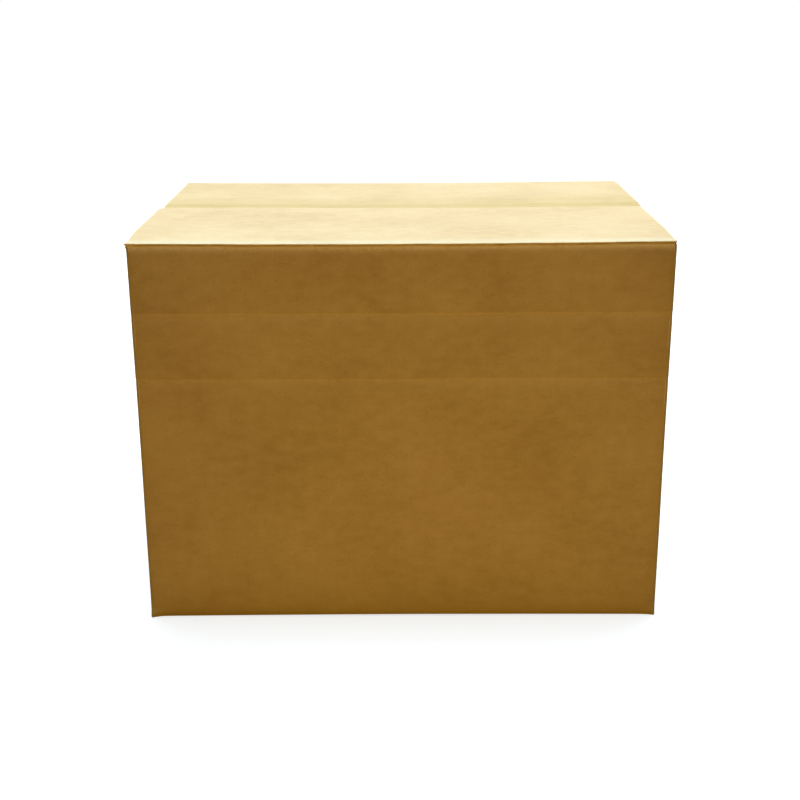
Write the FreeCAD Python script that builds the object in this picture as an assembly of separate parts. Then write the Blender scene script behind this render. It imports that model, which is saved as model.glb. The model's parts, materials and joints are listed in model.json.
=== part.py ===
import FreeCAD, Part
import math
import os

# A closed, slotted carton of single-wall corrugated board, in millimetres.
# The origin is the middle of the base, +Z is up, and the long front wall faces -Y.
# Every wall is drawn once in its own plane: u runs inwards from its outer face, v is
# the height and w runs along it. It is then turned about +Z to its side of the box.

# The box, measured over the outer faces of its walls and up to the fold of the top flaps.
box_width = 406.0
box_depth = 305.0
box_height = 305.0

# The board and its folds.
board_thickness = 4.0
fold_radius = 3.0           # outer radius where a flap turns over
corner_radius = 3.0         # outer radius of the upright corners
seam_gap = 4.0              # between two outer flaps where they meet
layer_gap = 0.3             # between an outer flap and the inner flaps beside it
outer_flap_inset = 0.5      # side edge of an outer flap, back from the side wall's face
inner_flap_slot = 2.0       # side edge of an inner flap, back from the wall beside it

# The top outer flaps lie loose. The front one rises just past its fold and stays up as far
# as the seam, and the back one dips beside the seam.
front_flap_rise = 1.8
front_ramp_start = 5.0      # from the wall's face to where the rise begins
front_ramp = 36.0           # length over which it rises
back_flap_dip = 1.2
back_ramp = 22.0
back_seam_strip = 6.0       # level strip beside the seam, past the dip
hinge_gap = 0.2             # slit in the fold between a wall and its top flap

# The bottom flaps stand on a flat strip beside each fold and clear the floor at the seam.
floor_strip = 60.0
seam_clearance = 0.6
seam_strip = 30.0           # level strip beside the seam, where the tape sticks

# Spare folding lines that run round the walls, for cutting the carton down.
score_count = 2
first_score_drop = 50.8     # from the middle of the top fold down to the first line
score_pitch = 50.8
score_width = 8.6
score_depth = 0.6

# The tab of the left wall, glued inside the back wall.
tab_width = 35.0
tab_clearance = 4.0         # from the inner flaps
tab_slant = 9.0             # how much shorter each end of the tab is at its free edge
panel_setback = 0.5         # cut edge of the back wall, short of the left wall's face

# The tape along the bottom seam and up the side walls.
tape_width = 48.0
tape_thickness = 0.1
tape_leg = 60.0             # how far it runs up each side wall
glue_film = 0.02

# Levels and reaches that follow from the sizes above.
flap_reach = (box_depth - seam_gap) / 2
inner_top_level = box_height - board_thickness - back_flap_dip - layer_gap
inner_bottom_level = board_thickness + seam_clearance + layer_gap
margin = 1.0                # how far a cutting tool stands out of what it cuts


def point(u, v):
    return FreeCAD.Vector(u, 0, v)


def section(start, steps):
    """A face whose edge leaves start and comes back to it.

    Each step is (end,) for a straight edge or (via, end) for an arc.
    """
    edges = []
    here = start
    for step in steps:
        if len(step) == 2:
            edges.append(Part.Arc(here, step[0], step[1]).toShape())
        else:
            edges.append(Part.LineSegment(here, step[0]).toShape())
        here = step[-1]
    return Part.Face(Part.Wire(edges))


def extrude(face, length):
    """Carries a face along w, half the length to each side."""
    solid = face.extrude(FreeCAD.Vector(0, length, 0))
    solid.translate(FreeCAD.Vector(0, -length / 2, 0))
    return solid


def block(u, v, w):
    """A box between the two values given for each of u, v and w."""
    corner = FreeCAD.Vector(u[0], w[0], v[0])
    return Part.makeBox(u[1] - u[0], w[1] - w[0], v[1] - v[0], corner)


def place(shape, turn, reach):
    """Sets a wall at its distance from the middle and turns it to its side of the box."""
    placed = shape.copy()
    placed.translate(FreeCAD.Vector(-reach, 0, 0))
    placed.rotate(FreeCAD.Vector(0, 0, 0), FreeCAD.Vector(0, 0, 1), turn)
    return placed


def at_front(shape):
    return place(shape, 90, box_depth / 2)


def at_back(shape):
    return place(shape, -90, box_depth / 2)


def at_left(shape):
    return place(shape, 0, box_width / 2)


def at_right(shape):
    return place(shape, 180, box_width / 2)


def fold_middle(level, up):
    """The middle of a fold's outer arc; up is 1 for a top fold and -1 for a bottom one."""
    near = fold_radius * (1 - math.cos(math.pi / 4))
    return point(near, level - up * near)


def outer_section(rise, rise_start, rise_end):
    """Front or back wall with its bottom and top outer flaps, as one bent sheet.

    The top flap's upper face is level with the fold until rise_start, and has risen at
    rise_end.
    """
    t = board_thickness
    top = box_height + rise
    ramp_end = flap_reach - seam_strip
    wall_foot = point(0, fold_radius)
    return section(wall_foot, [
        (point(0, box_height - fold_radius),),
        (fold_middle(box_height, 1), point(fold_radius, box_height)),
        (point(rise_start, box_height),),
        (point(rise_end, top),),
        (point(flap_reach, top),),
        (point(flap_reach, top - t),),
        (point(rise_end, top - t),),
        (point(rise_start, box_height - t),),
        (point(t, box_height - t),),
        (point(t, t),),
        (point(floor_strip, t),),
        (point(ramp_end, t + seam_clearance),),
        (point(flap_reach, t + seam_clearance),),
        (point(flap_reach, seam_clearance),),
        (point(ramp_end, seam_clearance),),
        (point(floor_strip, 0),),
        (point(fold_radius, 0),),
        (fold_middle(0, -1), wall_foot),
    ])


def inner_section():
    """Side wall with its bottom and top inner flaps, as one bent sheet."""
    t = board_thickness
    top = inner_top_level
    bottom = inner_bottom_level
    wall_foot = point(0, bottom + fold_radius)
    return section(wall_foot, [
        (point(0, top - fold_radius),),
        (fold_middle(top, 1), point(fold_radius, top)),
        (point(flap_reach, top),),
        (point(flap_reach, top - t),),
        (point(t, top - t),),
        (point(t, bottom + t),),
        (point(flap_reach, bottom + t),),
        (point(flap_reach, bottom),),
        (point(fold_radius, bottom),),
        (fold_middle(bottom, -1), wall_foot),
    ])


def hinge_side(up):
    """The space on one side of the slit that splits a top fold at 45 degrees.

    up is 1 for the flap's side and -1 for the wall's.
    """
    reach = box_depth + box_height
    shift = up * hinge_gap / math.sqrt(2)
    outside = point(-reach, box_height + reach + shift)
    inside = point(reach, box_height - reach + shift)
    far = point(up * reach, box_height + up * reach + shift)
    face = section(outside, [(inside,), (far,), (outside,)])
    return extrude(face, box_width + 2 * margin)


def score_lines(length):
    """Rods that press the spare folding lines into the outer face of one wall."""
    radius = (score_width ** 2 / 4 + score_depth ** 2) / (2 * score_depth)
    top_score = box_height - board_thickness / 2 - first_score_drop
    rods = []
    for i in range(score_count):
        start = FreeCAD.Vector(score_depth - radius, -length / 2 - margin, top_score - i * score_pitch)
        rods.append(Part.makeCylinder(radius, length + 2 * margin, start, FreeCAD.Vector(0, 1, 0)))
    return rods


def outer_sheet(rise, rise_start, rise_end):
    """Front or back wall with its bottom flap, and its top flap as a second solid."""
    face = outer_section(rise, rise_start, rise_end)
    flaps = extrude(face, box_width - 2 * outer_flap_inset)
    ends = (-box_width / 2, box_width / 2)
    wall_space = block((-margin, board_thickness), (board_thickness, box_height + margin), ends)
    wall = extrude(face, box_width).common(wall_space)
    wall = wall.cut(score_lines(box_width))
    top_flap = flaps.common(hinge_side(1))
    sheet = flaps.cut(score_lines(box_width)).fuse(wall).common(hinge_side(-1))
    return sheet, top_flap


def inner_sheet():
    """Side wall with its two inner flaps, between the front and back walls."""
    face = inner_section()
    wall_length = box_depth - 2 * board_thickness
    flaps = extrude(face, wall_length - 2 * inner_flap_slot)
    ends = (-wall_length / 2, wall_length / 2)
    wall_space = block((-margin, board_thickness), (inner_bottom_level, inner_top_level), ends)
    wall = extrude(face, wall_length).common(wall_space)
    return flaps.fuse(wall).cut(score_lines(wall_length))


def glue_tab():
    """The end of the left wall, turned in behind the back wall and cut back at a slant."""
    t = board_thickness
    back = box_depth / 2 - t
    root = -box_width / 2 + t
    tip = root + tab_width
    low = inner_bottom_level + t + tab_clearance
    high = inner_top_level - t - tab_clearance
    corners = [(root, low), (tip, low + tab_slant), (tip, high - tab_slant), (root, high), (root, low)]
    outline = Part.makePolygon([FreeCAD.Vector(x, back - t, z) for x, z in corners])
    return Part.Face(outline).extrude(FreeCAD.Vector(0, t, 0))


def corner_rounding(x_side, y_side, y_corner):
    """What lies outside the round of an upright corner, over the whole height."""
    r = corner_radius
    x = x_side * box_width / 2
    low = -margin
    height = box_height + 2 * margin
    corner = FreeCAD.Vector(min(x, x - x_side * r), min(y_corner, y_corner - y_side * r), low)
    square = Part.makeBox(r, r, height, corner)
    centre = FreeCAD.Vector(x - x_side * r, y_corner - y_side * r, low)
    return square.cut(Part.makeCylinder(r, height, centre))


def box_body(front_sheet, back_sheet):
    """Four walls, glued tab, inner top flaps and all four bottom flaps: one folded sheet."""
    side = inner_sheet()
    body = front_sheet.fuse([back_sheet, at_left(side), at_right(side), glue_tab()])
    y = box_depth / 2
    joint = y - board_thickness
    setback_end = -box_width / 2 + panel_setback
    setback = Part.makeBox(panel_setback + margin, board_thickness + margin, box_height + 2 * margin,
                           FreeCAD.Vector(setback_end - panel_setback - margin, joint, -margin))
    outside = [
        corner_rounding(-1, -1, -y),
        corner_rounding(1, -1, -y),
        corner_rounding(1, 1, y),
        corner_rounding(-1, 1, joint),
        setback,
    ]
    return body.cut(outside).removeSplitter()


def tape_section():
    """The bottom tape seen from the front: along the seam and up both side walls."""
    inner_x = box_width / 2 + glue_film
    outer_x = inner_x + tape_thickness
    inner_z = seam_clearance - glue_film
    outer_z = inner_z - tape_thickness
    centre_x = box_width / 2 - outer_flap_inset
    inner_r = inner_x - centre_x
    outer_r = inner_r + tape_thickness
    centre_z = inner_z + inner_r
    middle = math.sin(math.pi / 4)

    def turn(side, r):
        return point(side * (centre_x + r * middle), centre_z - r * middle)

    return section(point(-outer_x, tape_leg), [
        (point(-outer_x, centre_z),),
        (turn(-1, outer_r), point(-centre_x, outer_z)),
        (point(centre_x, outer_z),),
        (turn(1, outer_r), point(outer_x, centre_z)),
        (point(outer_x, tape_leg),),
        (point(inner_x, tape_leg),),
        (point(inner_x, centre_z),),
        (turn(1, inner_r), point(centre_x, inner_z)),
        (point(-centre_x, inner_z),),
        (turn(-1, inner_r), point(-inner_x, centre_z)),
        (point(-inner_x, tape_leg),),
        (point(-outer_x, tape_leg),),
    ])


def main():
    front_sheet, front_flap = outer_sheet(front_flap_rise, front_ramp_start,
                                          front_ramp_start + front_ramp)
    dip_end = flap_reach - back_seam_strip
    back_sheet, back_flap = outer_sheet(-back_flap_dip, dip_end - back_ramp, dip_end)
    pieces = {
        "box_body": box_body(at_front(front_sheet), at_back(back_sheet)),
        "top_front_flap": at_front(front_flap),
        "top_back_flap": at_back(back_flap),
        "bottom_tape": extrude(tape_section(), tape_width),
    }
    os.makedirs("parts", exist_ok=True)
    for name, shape in pieces.items():
        shape.exportStep("parts/" + name + ".step")
        box = shape.BoundBox
        print(name, len(shape.Solids), "solid,", round(shape.Volume / 1000, 1), "cm3,",
              "X", round(box.XMin, 2), round(box.XMax, 2),
              "Y", round(box.YMin, 2), round(box.YMax, 2),
              "Z", round(box.ZMin, 2), round(box.ZMax, 2), shape.isValid())


main()
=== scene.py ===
import json
import math

import bpy
import numpy as np
from mathutils import Matrix, Vector


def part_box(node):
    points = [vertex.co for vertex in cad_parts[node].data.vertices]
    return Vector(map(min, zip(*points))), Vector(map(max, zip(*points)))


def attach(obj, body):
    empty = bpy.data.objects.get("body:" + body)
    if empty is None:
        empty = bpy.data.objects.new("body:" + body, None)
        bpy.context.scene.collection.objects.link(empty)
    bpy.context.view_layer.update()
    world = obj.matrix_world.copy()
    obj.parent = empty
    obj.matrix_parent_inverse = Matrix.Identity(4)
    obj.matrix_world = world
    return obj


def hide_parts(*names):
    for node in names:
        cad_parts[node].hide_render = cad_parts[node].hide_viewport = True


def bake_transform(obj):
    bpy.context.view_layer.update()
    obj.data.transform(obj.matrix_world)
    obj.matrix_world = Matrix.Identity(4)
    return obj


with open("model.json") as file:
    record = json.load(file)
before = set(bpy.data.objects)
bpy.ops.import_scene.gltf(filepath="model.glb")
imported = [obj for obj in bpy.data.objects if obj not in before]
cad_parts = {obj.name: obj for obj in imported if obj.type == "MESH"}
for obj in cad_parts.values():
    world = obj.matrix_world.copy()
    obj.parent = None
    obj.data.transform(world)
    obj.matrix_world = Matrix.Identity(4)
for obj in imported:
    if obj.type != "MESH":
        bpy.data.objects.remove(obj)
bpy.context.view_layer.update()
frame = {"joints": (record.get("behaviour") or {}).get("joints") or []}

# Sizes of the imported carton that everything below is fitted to, in metres
folds = {joint["child"]: joint["pos_m"] for joint in frame["joints"]}
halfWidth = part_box("box_body")[1][0]
halfDepth = -folds["front_flap"][1]
foldLevel = folds["front_flap"][2]
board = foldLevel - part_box("top_front_flap")[0][2]
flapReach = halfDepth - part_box("top_back_flap")[0][1]
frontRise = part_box("top_front_flap")[1][2] - foldLevel
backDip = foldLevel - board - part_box("top_back_flap")[0][2]
print("carton read from the frame:", round(halfWidth, 4), round(halfDepth, 4), round(foldLevel, 4))

# How the board is folded and cut
carton = {
    "cornerRadius": 0.002,      # worn tighter than the solid's
    "foldRadius": 0.0011,
    "innerRadius": 0.0003,      # inside of any fold, crushed nearly sharp
    "layerGap": 0.0003,
    "seamClearance": 0.0006,    # bottom flaps off the floor at the seam
    "floorStrip": 0.06,         # level part of a bottom flap, from the wall's face
    "floorRamp": 0.062,         # length over which it then rises towards the seam
    "outerInset": 0.0005,       # side edge of an outer flap
    "innerSlot": 0.002,         # side edge of an inner flap
    "panelSetback": 0.0005,     # cut edge of the back wall
    "glueFilm": 0.00005,
    "tabWidth": 0.035,
    "tabRoot": 0.0015,          # share of its width over which the tab narrows to its slanted ends
    "tabClearance": 0.004,
    "tabSlant": 0.009,
    "foldBand": 0.0086,         # half of the strip that bends between a wall and its top flap
    "wallFoot": 0.0082,
    "cornerTop": 0.0028,        # corner tip, below the fold level
    "cornerFoot": 0.0002,
    "cornerArc": 0.0047,        # paper that goes round an upright corner
    "cornerRows": 7,
    "cornerColumns": 7,
    "liner": 0.0005,
    "recess": 0.0022,           # how far the fluting is crushed back from a cut edge
    "closedRim": 0.001,         # past a fold, length of edge that is pressed shut
    "spacing": 0.0075,
    "nearEdge": (0.0012, 0.003),    # two more stations beside every edge
}
innerTop = foldLevel - board - backDip - carton["layerGap"]
innerBottom = board + carton["seamClearance"] + carton["layerGap"]
wallTop = foldLevel - carton["foldBand"]
wallFoot = carton["wallFoot"]

# Spare folding lines pressed into the walls
scores = {
    "first": 0.0508,            # from the middle of the board at the top fold down to each line
    "second": 0.1023,
    "drop": 0.0013,             # the sharp upper side of a score, below its middle line
    "sharp": 0.0007,
    "fade": 0.0036,             # how slowly the dent runs out downwards
    "depth": 0.0004,
    "unevenness": 0.35,
    "innerShare": 0.6,          # of the dent, on the inside of the wall
    "cornerShare": 0.5,
    "runOut": 0.014,            # stretch below and above a line with closer stations
    "edge": 0.002,
}
scoreLevels = [foldLevel - board / 2 - scores[line] for line in ("first", "second")]


# Seed and wavelength of every ripple in the board, its creases and its tape
rippleSizes = {
    "flaps": (7, 0.13),
    "longWalls": (11, 0.16),
    "sideWalls": (13, 0.15),
    "tape": (21, 0.012),
    "creaseWander": (31, 0.05),
    "creaseJitter": (32, 0.011),
    "creaseDepth": (33, 0.02),
    "scoreDepth": (41, 0.09),
}


# Ripple: a few long sine waves of seeded direction and phase added together, about 1 high.
def ripple(a, b, seed, wavelength):
    random = np.random.default_rng(seed)
    total = np.zeros(np.broadcast(a, b).shape)
    for k in range(5):
        turn = random.uniform(0, 2 * math.pi)
        phase = random.uniform(0, 2 * math.pi)
        length = wavelength * random.uniform(0.7, 1.6)
        total = total + np.sin(2 * math.pi * (a * math.cos(turn) + b * math.sin(turn)) / length + phase)
    return total / 3


# Bump: a bell of the distance, 1 at the middle and 1/e at the radius.
def bump(distance, radius):
    return np.exp(-(distance / radius) ** 2)


lean = {
    "frontSag": 0.0009,         # middle of the front top fold
    "backSag": 0.0013,
    "sagFrom": 0.18,            # height at which the sag begins
    "backLift": 0.0003,
    "rightLift": 0.0003,        # right end of the front top fold, above the left end
    "archHeight": 0.00085,      # middle of the long bottom edges, off the floor
    "archPower": 1.7,
    "archUpTo": 0.12,           # height at which the arch has died away
    "bulge": 0.0006,            # side walls standing out, with less of it at mid height
    "sideBow": 0.0003,
    "rollOver": 0.0009,         # top of a long wall leaning in towards its fold
    "rollBand": 0.009,
    "rollEnd": 0.0005,
    "tipFlare": 0.0018,         # top left front corner, outwards
    "tipReach": (0.005, 0.004, 0.0025),
    "tipDrop": 0.001,
    "footFlare": 0.0018,        # bottom front corners, forwards, the left one more
    "footReach": (0.006, 0.01, 0.006),
    "footBias": 0.3,
    "wallRipple": 0.00022,
    "flapRipple": 0.00018,
    "flapBand": 0.02,           # distance from the fold level within which the flaps ripple
    "facePower": 12,            # how close to a wall's plane a point must be to move with that wall
}


# Settle: every point of the ideal carton is moved by one smooth field, so that pieces which touch
# stay together. The field sags the top folds, arches the bottom edge, bows the walls and flares a tip.
def settle(points):
    p = np.array(points, float)
    x, y, z = p[..., 0], p[..., 1], p[..., 2]
    acrossX = np.clip(np.abs(x) / halfWidth, 0, 1.05)
    acrossY = np.clip(np.abs(y) / halfDepth, 0, 1.05)
    upper = np.clip((z - lean["sagFrom"]) / (foldLevel - lean["sagFrom"]), 0, 1.1) ** 2
    lower = np.clip(1 - z / lean["archUpTo"], 0, 1) ** 2
    backShare = np.clip((y + halfDepth) / (2 * halfDepth), 0, 1)
    sag = (lean["frontSag"] * (1 - backShare) + lean["backSag"] * backShare) * (1 - acrossX ** 2)
    rightLift = lean["rightLift"] * (1 - backShare) * np.clip(x / halfWidth, 0, 1)
    sag = sag - lean["backLift"] * backShare - rightLift
    arch = lean["archHeight"] * (1 - np.clip(acrossX, 0, 1) ** lean["archPower"])
    long = acrossY ** lean["facePower"]
    side = acrossX ** lean["facePower"]
    level = bump(z - foldLevel, lean["flapBand"])
    dz = arch * lower - sag * upper
    dz = dz + level * lean["flapRipple"] * ripple(x, y, *rippleSizes["flaps"]) * (1 - acrossY ** 4)
    out = lean["bulge"] - lean["sideBow"] * np.sin(math.pi * np.clip(z / foldLevel, 0, 1))
    dx = np.sign(x) * out * acrossX ** 4
    middle = np.clip(z / foldLevel, 0, 1) * np.clip(1 - z / foldLevel, 0, 1) * 4
    dy = np.sign(y) * lean["wallRipple"] * ripple(x, z, *rippleSizes["longWalls"]) * long * middle
    dx = dx + np.sign(x) * lean["wallRipple"] * ripple(y, z, *rippleSizes["sideWalls"]) * side * middle
    rollIn = np.clip((z - (foldLevel - lean["rollBand"])) / lean["rollBand"], 0, 1) ** 2
    belowFold = z < foldLevel - lean["rollEnd"]
    dy = dy - np.sign(y) * lean["rollOver"] * rollIn * np.where(belowFold, long, 0)
    reachX, reachY, reachZ = lean["tipReach"]
    tip = bump(x + halfWidth, reachX) * bump(y + halfDepth, reachY)
    tip = tip * bump(z - foldLevel + lean["tipDrop"], reachZ)
    dx = dx - lean["tipFlare"] * tip
    reachX, reachY, reachZ = lean["footReach"]
    foot = bump(np.abs(x) - halfWidth, reachX) * bump(y + halfDepth, reachY) * bump(z, reachZ)
    dy = dy - lean["footFlare"] * foot * (1 - lean["footBias"] * np.sign(x))
    return p + np.stack([dx, dy, dz], -1)


# A wall's own frame: u goes inwards from its outer face, w along it and v up.
def place(wall, u, w, v):
    u, w, v = np.broadcast_arrays(u, w, v)
    if wall == "front":
        return np.stack([w, -halfDepth + u, v], -1)
    if wall == "back":
        return np.stack([w, halfDepth - u, v], -1)
    if wall == "left":
        return np.stack([-halfWidth + u, w, v], -1)
    return np.stack([halfWidth - u, w, v], -1)


# Every wall has its own stretch of the flat blank, so the paper's pattern differs from wall to wall,
# and so have the four upright corners and the glue tab.
blankStart = {"front": 0.0, "right": 0.36, "back": 0.72, "left": 1.08, "corners": 0.30, "tab": 1.4}


# Stretch: values carried in proportion from their own span to another.
def stretch(values, toLow, toHigh):
    low, high = values[0], values[-1]
    return toLow + (values - low) / (high - low) * (toHigh - toLow)


# Stations: an even spacing from end to end, with two more close to each end.
def stations(low, high):
    count = max(2, int(round((high - low) / carton["spacing"])) + 1)
    inside = np.linspace(low, high, count)
    nearEdge = np.array(carton["nearEdge"])
    return np.unique(np.concatenate([inside, low + nearEdge, high - nearEdge]))


# Levels of the wall grid: even spacing, closer together across each score line.
def wallLevels():
    rows = [stations(wallFoot, wallTop)]
    for level in scoreLevels:
        rows.append(level - scores["drop"] + np.linspace(-scores["runOut"], scores["edge"], 17))
        rows.append(level - scores["drop"] + np.linspace(-scores["edge"], scores["edge"], 11))
    rows = np.unique(np.round(np.concatenate(rows), 6))
    closest = 0.00025
    keep = np.concatenate([[True], np.diff(rows) > closest])
    return rows[keep]


# Score profile, up to 1: a bell above each line, and below it a slow exponential run-out.
def scoreDip(levels):
    dip = np.zeros(len(levels))
    for level in scoreLevels:
        above = levels - level + scores["drop"]
        dip += np.where(above > 0, bump(above, scores["sharp"]), np.exp(above / scores["fade"]))
    return dip


# Patch: a grid of points on the outer and the inner liner, with their places on the flat blank, the
# masks that the material reads, and how far the fluting is crushed back at the border.
def patch(outer, inner, blank, crease=0.0, grime=0.0, rub=0.0, recess=carton["recess"]):
    size = outer.shape[:2]
    return {
        "outer": outer,
        "inner": inner,
        "blank": np.broadcast_to(blank, (*size, 2)),
        "crease": np.broadcast_to(crease, size),
        "grime": np.broadcast_to(grime, size),
        "rub": np.broadcast_to(rub, size),
        "recess": np.full(size, recess),
    }


# Masks of paler paper beside a fold and at a score: on the wall a pale band, partly worn paper and
# partly painted light; on the flap a painted highlight on partly rubbed paper; at a score a painted highlight
wear = {
    "fold": (0.3, 0.2),
    "score": 0.4,
    "reach": (0.0034, 0.0115),
    "below": 0.0010,            # the wall's pale band lies this far below its crease
}
# Mask of painted shade: darker towards the floor, at the bottom edge, and at and beside the upright corners
paintedShadeSizes = {
    "foot": 1.25,
    "footReach": 0.016,
    "edge": 1.15,
    "edgeReach": 0.003,
    "besideCorner": 0.4,
    "cornerReach": 0.006,
    "corner": 0.8,
}
# The crushed line along the outside of a fold, with painted shade in it
crushed = {
    "turn": -8,                 # where it lies round the fold's arc in degrees, below 0 on the wall
    "depth": 0.0005,
    "evenShare": 0.8,           # of the depth, and how much the rest of it comes and goes
    "unevenShare": 0.5,
    "width": 0.00045,
    "wobble": 0.00025,
    "jitter": 0.000125,
    "shade": 1.3,
}


# Painted shade by height: a slow exponential up from the floor and a quick one at the very edge.
def footShade(levels):
    towardsFloor = paintedShadeSizes["foot"] * np.exp(-levels / paintedShadeSizes["footReach"])
    return towardsFloor + paintedShadeSizes["edge"] * np.exp(-levels / paintedShadeSizes["edgeReach"])


# Flat wall: u is 0 outside and the board's thickness inside, with the score lines pressed in. A side
# wall's pale band under its top fold, partly worn paper and partly painted light, is a bell of the
# distance from the crease.
def wallPatch(wall, w, innerLow, innerHigh, levels):
    score = scoreDip(levels)[:, None]
    uneven = 1 + scores["unevenness"] * ripple(w, w * 0, *rippleSizes["scoreDepth"])
    dip = score * scores["depth"] * uneven[None, :]
    outer = place(wall, dip, w[None, :], levels[:, None])
    innerDip = dip * scores["innerShare"]
    inner = place(wall, board + innerDip, stretch(w, innerLow, innerHigh)[None, :], levels[:, None])
    blank = np.stack(np.broadcast_arrays(w[None, :] + blankStart[wall], levels[:, None]), -1)
    # Painted highlight along each score line
    crease = wear["score"] * score
    if wall in ("left", "right"):
        fold = innerTop - carton["foldRadius"] * (1 - math.pi / 4) - wear["below"]
        crease = crease + wear["fold"][0] * bump(levels - fold, wear["reach"][0])[:, None]
    # Painted shade beside each upright corner, on top of the painted shade towards the floor
    toCorner = np.minimum(w - w[0], w[-1] - w)
    besideCorner = paintedShadeSizes["besideCorner"] * np.exp(-toCorner / paintedShadeSizes["cornerReach"])
    piece = patch(outer, inner, blank, crease, footShade(levels)[:, None] + besideCorner[None, :])
    if wall in ("front", "back"):
        piece["recess"][-1] = 0
    return piece


# Upright corner: a quarter circle in plan about each of two centres, carried up the levels.
def cornerPatch(outerCentre, innerCentre, startAngle, endAngle, levels, blankU):
    columns = carton["cornerColumns"]
    turn = np.linspace(startAngle, endAngle, columns)[None, :]
    dip = scores["cornerShare"] * scores["depth"] * scoreDip(levels)[:, None]
    z = np.broadcast_to(levels[:, None], (len(levels), columns))

    def arc(centre, radius):
        return np.stack([centre[0] + radius * np.cos(turn) + 0 * z,
                         centre[1] + radius * np.sin(turn) + 0 * z, z], -1)

    outer = arc(outerCentre, carton["cornerRadius"] - dip)
    inner = arc(innerCentre, carton["innerRadius"])
    run = blankU + np.linspace(0, carton["cornerArc"], columns)[None, :]
    blank = np.stack(np.broadcast_arrays(run, levels[:, None]), -1)
    # Painted shade over the whole upright corner, more towards the floor
    return patch(outer, inner, blank, grime=paintedShadeSizes["corner"] + footShade(levels)[:, None], recess=0.0)


# Stations along a fold and its flap: shares of the fold's wall part, steps round its arc, and
# distances back from the seam, all closer together where the paper is crushed or bends.
foldStations = {
    "wall": (0, 0.25, 0.5, 0.7, 0.82, 0.9, 0.95, 1),
    "turns": 19,
    "fromSeam": (0.0003, 0.0009, 0.0018, 0.0045, 0.0065, 0.009, 0.0145, 0.0165),
    "ownWidthFrom": 25,         # degrees round the fold, past which the flap has its own width
}


# Flap section in (u, v): up the wall, round a quarter circle, along the flap. rise(u) lifts the flap
# outwards. The inner line keeps one board below and turns about its own small radius. The crease
# mask, a pale band of partly worn paper and partly painted light, fades along the wall, and the rub
# mask, a painted highlight on partly rubbed paper, along the flap, from the worn-and-lit value of each.
def flapSection(level, up, start, reach, rise, worn=(0, 0), soiled=0.0):
    r, ri = carton["foldRadius"], carton["innerRadius"]
    wallPart = np.array(foldStations["wall"])
    turn = np.radians(np.linspace(0, 90, foldStations["turns"]))[1:]
    flat = np.concatenate([stations(r, reach)[1:], reach - np.array(foldStations["fromSeam"])])
    flat = np.unique(np.round(flat, 6))
    share = (flat - r) / (reach - r)
    outerU = np.concatenate([0 * wallPart, r * (1 - np.cos(turn)), flat])
    outerD = np.concatenate([start + (r - start) * wallPart, r * (1 - np.sin(turn)), 0 * flat])
    innerFlat = board + ri + (reach - board - ri) * share
    innerU = np.concatenate([board + 0 * wallPart, board + ri * (1 - np.cos(turn)), innerFlat])
    innerD = np.concatenate([start + (board + ri - start) * wallPart, board + ri * (1 - np.sin(turn)),
                             board + 0 * flat])
    run = np.concatenate([[0], np.cumsum(np.hypot(np.diff(outerU), np.diff(outerD)))])
    fold = start - r + r * math.pi / 4
    ownWidth = np.clip(np.degrees(turn) / foldStations["ownWidthFrom"], 0, 1)
    past = np.maximum(run - fold, 0)
    return {
        "outerU": outerU,
        "innerU": innerU,
        "outerV": level - up * outerD + up * rise(outerU),
        "innerV": level - up * innerD + up * rise(innerU),
        "run": level - up * start + up * run,
        "fromCrease": run - (start - r + r * math.radians(crushed["turn"])),
        "crease": np.where(run < fold, worn[0] * bump(run - fold + wear["below"], wear["reach"][0]), 0),
        "rub": np.where(run < fold, 0, worn[1] * np.exp(-((run - fold) / wear["reach"][1]) ** 4)),
        # Painted shade beside a bottom fold, darker towards the floor
        "grime": soiled * footShade(np.maximum(fold - run, 0)) * bump(past, paintedShadeSizes["edgeReach"]),
        "onFlap": np.concatenate([0 * wallPart, ownWidth, 0 * flat + 1]),
    }


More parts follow.
